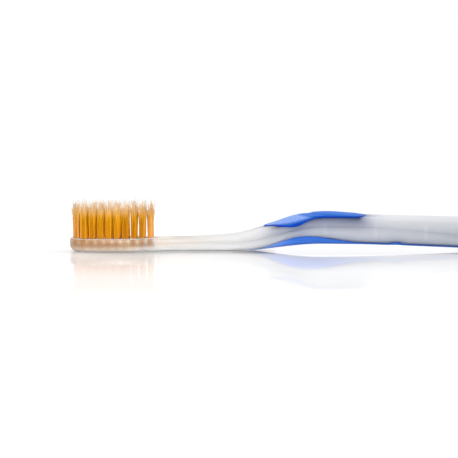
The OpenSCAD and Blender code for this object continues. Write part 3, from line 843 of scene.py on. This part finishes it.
view = {
    "elevation": 5, "distance": 330 * mm, "perPixel": 0.28 * mm, "pixels": 458,
    "target": (-49.6 * mm, 0.0, 6 * mm), "sensor": 36.0, "clip": (0.01, 50.0),
}


def seenDirectly(tree):  # 1 for camera, glossy and transmitted rays
    path = addNode(tree, "ShaderNodeLightPath").outputs
    rays = plus(tree, path["Is Camera Ray"], path["Is Glossy Ray"])
    rays = plus(tree, rays, path["Is Transmission Ray"])
    return calc(tree, "MINIMUM", rays, 1.0)


def floorShade(tree, axes):  # how far the head and the neck shut off the floor, and the light left
    contact = stage["contact"]
    near = addNode(tree, "ShaderNodeAmbientOcclusion", {
        "Distance": contact["reach"],
    }, samples=contact["samples"]).outputs["AO"]
    shut = minus(tree, 1.0, calc(tree, "POWER", near, contact["power"]))
    shut = times(tree, shut, falling(tree, axes["X"], *contact["run"]))
    # the clear head casts less shade, and with the lamps behind the brush it falls forward
    weaker = mapped(tree, axes["X"], *contact["head"], 1.0)
    weaker = times(tree, weaker, mapped(tree, axes["Y"], *contact["behind"], 1.0, contact["behindShare"]))
    left = minus(tree, 1.0, times(tree, shut, weaker))
    return shut, calc(tree, "MAXIMUM", left, contact["darkest"])


def mirrorShare(tree, axes, shut):
    reach, handle = stage["glossReach"], stage["handle"]
    share = curveOf(tree, rising(tree, axes["Y"], -reach, reach), stage["gloss"])
    share = times(tree, share, between(tree, shut, 1.0, stage["contact"]["gloss"]))
    # the handle stands off the floor and is mirrored more weakly, but not the gap right under it
    raised = times(tree, rising(tree, axes["X"], *handle["run"]),
                   rising(tree, absolute(tree, axes["Y"]), *handle["beside"]))
    return times(tree, share, between(tree, raised, 1.0, handle["gloss"]))


def floorMaterial():
    material = bpy.data.materials.new("glossyFloor")
    material.use_nodes = True
    tree = material.node_tree
    tree.nodes.clear()
    seen = seenDirectly(tree)
    axes = axesOf(tree, objectPlace(tree))
    shut, lightLeft = floorShade(tree, axes)
    contact = stage["contact"]
    shaded = mixColour(tree, lightLeft, grey(contact["dark"]), grey(contact["plain"]))
    # away from the brush the floor turns into a plain white backdrop
    away = rising(tree, absolute(tree, axes["Y"]), *stage["backdrop"])
    shaded = mixColour(tree, away, shaded, grey(0.0))
    matte = output(tree, "ShaderNodeBsdfDiffuse", {
        "Color": mixColour(tree, seen, hexColour(stage["floorColour"]), shaded),
    })
    level = times(tree, between(tree, away, stage["glow"], 1.0), lightLeft)
    glow = output(tree, "ShaderNodeEmission", {"Strength": times(tree, seen, level)})
    lit = output(tree, "ShaderNodeAddShader", {0: matte, 1: glow})
    mirror = output(tree, "ShaderNodeBsdfAnisotropic", {
        "Color": lightLeft, "Roughness": stage["glossRoughness"],
    })
    both = output(tree, "ShaderNodeMixShader", {0: mirrorShare(tree, axes, shut), 1: lit, 2: mirror})
    addNode(tree, "ShaderNodeOutputMaterial", {"Surface": both})
    return material


def makeFloor():
    half = stage["floorSize"] / 2
    corners = [(-half, -half, 0), (half, -half, 0), (half, half, 0), (-half, half, 0)]
    mesh = bpy.data.meshes.new("floor")
    mesh.from_pydata(corners, [], [(0, 1, 2, 3)])
    mesh.materials.append(floorMaterial())
    floor = bpy.data.objects.new("floor", mesh)
    bpy.context.scene.collection.objects.link(floor)


def makeSky():
    world = bpy.data.worlds.new("studio")
    bpy.context.scene.world = world
    world.use_nodes = True
    tree = world.node_tree
    background = tree.nodes["Background"].inputs
    feed(tree, background["Color"], grey(1.0))
    feed(tree, background["Strength"], between(tree, seenDirectly(tree), stage["sky"], 1.0))


def makeLamps():
    for name, spot, size, watts, aim, beam, mirrored in stage["lamps"]:
        data = bpy.data.lights.new(name, "AREA")
        data.size, data.energy, data.spread = size, watts, math.radians(beam)
        lamp = bpy.data.objects.new(name, data)
        lamp.location = spot
        lamp.rotation_euler = (Vector(aim) - Vector(spot)).to_track_quat("-Z", "Y").to_euler()
        lamp.visible_camera = False
        lamp.visible_glossy = mirrored
        bpy.context.scene.collection.objects.link(lamp)


def makeCamera():
    tilt = math.radians(view["elevation"])
    data = bpy.data.cameras.new("camera")
    data.sensor_width = view["sensor"]
    data.lens = view["sensor"] * view["distance"] / (view["pixels"] * view["perPixel"])
    data.clip_start, data.clip_end = view["clip"]
    camera = bpy.data.objects.new("camera", data)
    x, y, z = view["target"]
    camera.location = (x, y - view["distance"] * math.cos(tilt), z + view["distance"] * math.sin(tilt))
    camera.rotation_euler = (math.radians(90) - tilt, 0.0, 0.0)
    bpy.context.scene.collection.objects.link(camera)
    bpy.context.scene.camera = camera


makeFloor()
makeSky()
makeLamps()
makeCamera()
bpy.context.scene.view_settings.view_transform = "Standard"
print("floor, light and camera made")
